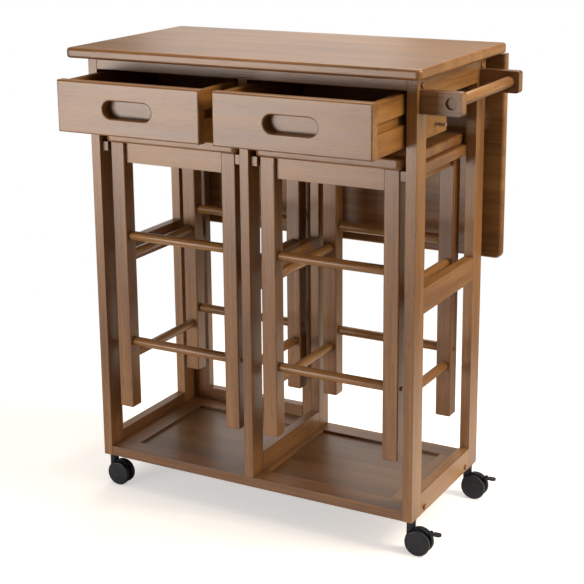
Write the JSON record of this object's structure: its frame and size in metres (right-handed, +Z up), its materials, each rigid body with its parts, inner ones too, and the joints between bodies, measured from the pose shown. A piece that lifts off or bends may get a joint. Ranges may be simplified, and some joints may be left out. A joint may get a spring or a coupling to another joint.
{
  "type": "kitchen island cart",
  "caption": "Rolling wooden kitchen island with a drop leaf, finger-slot drawers, hanging stools stowed under the top, and a towel bar on one end.",
  "frame": {"origin": "on the floor, under the centre of the four-legged frame", "axes": "+X towards the towel rail end, +Y towards the drop leaf at the back, +Z up"},
  "size_m": [0.721, 0.4619, 0.841],
  "materials": {
    "wood": "satin lacquer",
    "light_wood": "satin lacquer",
    "plug_wood": "satin lacquer",
    "steel": "plain",
    "black_plastic": "matte"
  },
  "bodies": {
    "cart": {"base_front_rail": "wood", "base_rear_rail": "wood", "base_stiles": "wood", "caster_sockets": "black_plastic", "centre_front_post": "wood", "centre_rails": "wood", "centre_rear_post": "wood", "drawer_runners": "wood", "frame_plugs": "plug_wood", "front_apron": "wood", "leaf_hinge_fixed": "steel", "left_front_leg": "wood", "left_rear_leg": "wood", "rear_apron": "wood", "right_front_leg": "wood", "right_rear_leg": "wood", "shelf_panels": "wood", "side_bottom_rails": "wood", "side_mid_rails": "wood", "side_top_rails": "wood", "stool_cleats": "wood", "support_hinges": "steel", "support_rails": "wood", "support_stiles": "wood", "tabletop": "wood", "towel_arms": "wood", "towel_bar": "wood"},
    "caster_left_front": {"caster_left_front_fork": "black_plastic"},
    "caster_left_front_wheels": {"caster_left_front_wheels": "black_plastic"},
    "caster_left_rear": {"caster_left_rear_fork": "black_plastic"},
    "caster_left_rear_wheels": {"caster_left_rear_wheels": "black_plastic"},
    "caster_right_front_brake_lever": {"caster_right_front_brake_lever": "black_plastic"},
    "caster_right_front": {"caster_right_front_fork": "black_plastic"},
    "caster_right_front_wheels": {"caster_right_front_wheels": "black_plastic"},
    "caster_right_rear_brake_lever": {"caster_right_rear_brake_lever": "black_plastic"},
    "caster_right_rear": {"caster_right_rear_fork": "black_plastic"},
    "caster_right_rear_wheels": {"caster_right_rear_wheels": "black_plastic"},
    "leaf": {"drop_leaf": "wood", "leaf_hinge_moving": "steel"},
    "left_drawer": {"left_drawer_bottom": "light_wood", "left_drawer_ends": "light_wood", "left_drawer_front": "wood", "left_drawer_sides": "light_wood", "left_drawer_stop_peg": "steel"},
    "left_stool": {"left_stool_aprons": "wood", "left_stool_legs": "wood", "left_stool_plugs": "plug_wood", "left_stool_rungs": "wood", "left_stool_seat": "wood"},
    "right_drawer": {"right_drawer_bottom": "light_wood", "right_drawer_ends": "light_wood", "right_drawer_front": "wood", "right_drawer_sides": "light_wood", "right_drawer_stop_peg": "steel"},
    "right_stool": {"right_stool_aprons": "wood", "right_stool_legs": "wood", "right_stool_plugs": "plug_wood", "right_stool_rungs": "wood", "right_stool_seat": "wood"}
  },
  "joints": [
    {"name": "leaf_hinge", "type": "hinge", "parent": "cart", "child": "leaf", "pos_m": [0, 0.174, 0.8206], "axis": [1, 0, 0], "range_deg": [0, 90]},
    {"name": "left_drawer_slide", "type": "slide", "parent": "cart", "child": "left_drawer", "axis": [0, -1, 0], "range_m": [-0.1195, 0.085]},
    {"name": "left_stool_pull_out", "type": "slide", "parent": "cart", "child": "left_stool", "axis": [0, -1, 0], "range_m": [0, 0.35]},
    {"name": "right_drawer_slide", "type": "slide", "parent": "cart", "child": "right_drawer", "axis": [0, -1, 0], "range_m": [-0.1195, 0.085]},
    {"name": "right_stool_pull_out", "type": "slide", "parent": "cart", "child": "right_stool", "axis": [0, -1, 0], "range_m": [0, 0.35]},
    {"name": "caster_left_front_swivel", "type": "hinge", "parent": "cart", "child": "caster_left_front", "pos_m": [-0.309, -0.1285, 0.0591], "axis": [0, 0, 1], "continuous": true},
    {"name": "caster_left_front_roll", "type": "hinge", "parent": "caster_left_front", "child": "caster_left_front_wheels", "pos_m": [-0.294, -0.1285, 0.023], "axis": [0, 1, 0], "continuous": true},
    {"name": "caster_left_rear_swivel", "type": "hinge", "parent": "cart", "child": "caster_left_rear", "pos_m": [-0.309, 0.1285, 0.0591], "axis": [0, 0, 1], "continuous": true},
    {"name": "caster_left_rear_roll", "type": "hinge", "parent": "caster_left_rear", "child": "caster_left_rear_wheels", "pos_m": [-0.294, 0.1285, 0.023], "axis": [0, 1, 0], "continuous": true},
    {"name": "caster_right_front_swivel", "type": "hinge", "parent": "cart", "child": "caster_right_front", "pos_m": [0.309, -0.1285, 0.0591], "axis": [0, 0, 1], "continuous": true},
    {"name": "caster_right_front_roll", "type": "hinge", "parent": "caster_right_front", "child": "caster_right_front_wheels", "pos_m": [0.324, -0.1285, 0.023], "axis": [0, 1, 0], "continuous": true},
    {"name": "caster_right_front_brake", "type": "hinge", "parent": "caster_right_front", "child": "caster_right_front_brake_lever", "pos_m": [0.3455, -0.1285, 0.0423], "axis": [0, 1, 0], "range_deg": [0, 20]},
    {"name": "caster_right_rear_swivel", "type": "hinge", "parent": "cart", "child": "caster_right_rear", "pos_m": [0.309, 0.1285, 0.0591], "axis": [0, 0, 1], "continuous": true},
    {"name": "caster_right_rear_roll", "type": "hinge", "parent": "caster_right_rear", "child": "caster_right_rear_wheels", "pos_m": [0.324, 0.1285, 0.023], "axis": [0, 1, 0], "continuous": true},
    {"name": "caster_right_rear_brake", "type": "hinge", "parent": "caster_right_rear", "child": "caster_right_rear_brake_lever", "pos_m": [0.3455, 0.1285, 0.0423], "axis": [0, 1, 0], "range_deg": [0, 20]}
  ]
}
